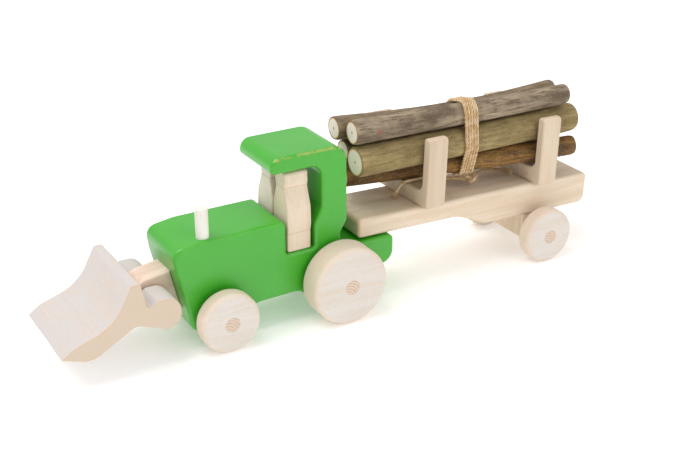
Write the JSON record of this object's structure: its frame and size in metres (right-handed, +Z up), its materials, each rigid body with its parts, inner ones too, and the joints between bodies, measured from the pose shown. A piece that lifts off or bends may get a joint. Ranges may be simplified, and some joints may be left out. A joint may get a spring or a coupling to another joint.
{
  "type": "toy tractor",
  "caption": "Wooden push-along toy tractor with a tilting front loader, flat cab figures and a hitched trailer carrying a tied bundle of bark-covered branches.",
  "frame": {"origin": "on the ground under the middle of the tractor and trailer together, which is 13.5 mm behind the rear axle", "axes": "+X towards the trailer's tail (the nose points to -X), +Y towards the far side, +Z up"},
  "size_m": [0.4243, 0.0954, 0.1309],
  "materials": {
    "green_paint": "satin green paint over wood, worn at the edges",
    "bare_wood": "bare sanded pale wood",
    "dowel_wood": "bare hardwood dowel",
    "bark": "natural thin bark with sawn ends",
    "jute_twine": "rough natural jute"
  },
  "bodies": {
    "tractor": {"tractor_body": "green_paint", "exhaust_stack": "dowel_wood", "loader_arm": "bare_wood", "loader_arm_dowels": "dowel_wood", "hitch_pin": "dowel_wood"},
    "bucket": {"loader_bucket": "bare_wood", "bucket_pivot_pin": "dowel_wood"},
    "driver": {"driver_figure": "bare_wood"},
    "passenger": {"passenger_figure": "bare_wood"},
    "front_wheels": {"front_axle": "dowel_wood", "front_wheel_near": "bare_wood", "front_wheel_far": "bare_wood"},
    "rear_wheels": {"rear_axle": "dowel_wood", "rear_wheel_near": "bare_wood", "rear_wheel_far": "bare_wood"},
    "trailer": {"trailer_deck": "bare_wood", "trailer_axle_block": "bare_wood", "axle_block_dowels": "dowel_wood", "stake_bolster_dowels": "dowel_wood", "front_stake_bolster": "bare_wood", "rear_stake_bolster": "bare_wood"},
    "trailer_wheels": {"trailer_axle": "dowel_wood", "trailer_wheel_near": "bare_wood", "trailer_wheel_far": "bare_wood"},
    "log_load": {"log_bottom_near": "bark", "log_bottom_far": "bark", "log_middle_near": "bark", "log_middle_far": "bark", "log_top_near": "bark", "log_top_far": "bark", "twine_wrap": "jute_twine", "twine_knot": "jute_twine", "twine_tail_rear": "jute_twine", "twine_tail_front": "jute_twine"}
  },
  "joints": [
    {"name": "bucket_tilt", "type": "hinge", "parent": "tractor", "child": "bucket", "pos_m": [-0.1425, 0, 0.037], "axis": [0, 1, 0], "range_deg": [-20, 52]},
    {"name": "front_wheels_spin", "type": "hinge", "parent": "tractor", "child": "front_wheels", "pos_m": [-0.1003, 0, 0.021], "axis": [0, 1, 0], "continuous": true},
    {"name": "rear_wheels_spin", "type": "hinge", "parent": "tractor", "child": "rear_wheels", "pos_m": [-0.0135, 0, 0.028], "axis": [0, 1, 0], "continuous": true},
    {"name": "trailer_hitch", "type": "hinge", "parent": "tractor", "child": "trailer", "pos_m": [0.0195, 0, 0.0466], "axis": [0, 0, 1], "range_deg": [-34, 34]},
    {"name": "trailer_wheels_spin", "type": "hinge", "parent": "trailer", "child": "trailer_wheels", "pos_m": [0.1629, 0.0034, 0.0206], "axis": [0, 1, 0], "continuous": true},
    {"name": "driver_slides_out", "type": "slide", "parent": "tractor", "child": "driver", "axis": [0, -1, 0], "range_m": [0, 0.03]},
    {"name": "passenger_slides_out", "type": "slide", "parent": "tractor", "child": "passenger", "axis": [0, 1, 0], "range_m": [0, 0.03]},
    {"name": "load_lifts_out", "type": "slide", "parent": "trailer", "child": "log_load", "axis": [0, 0, 1], "range_m": [0, 0.06]}
  ]
}
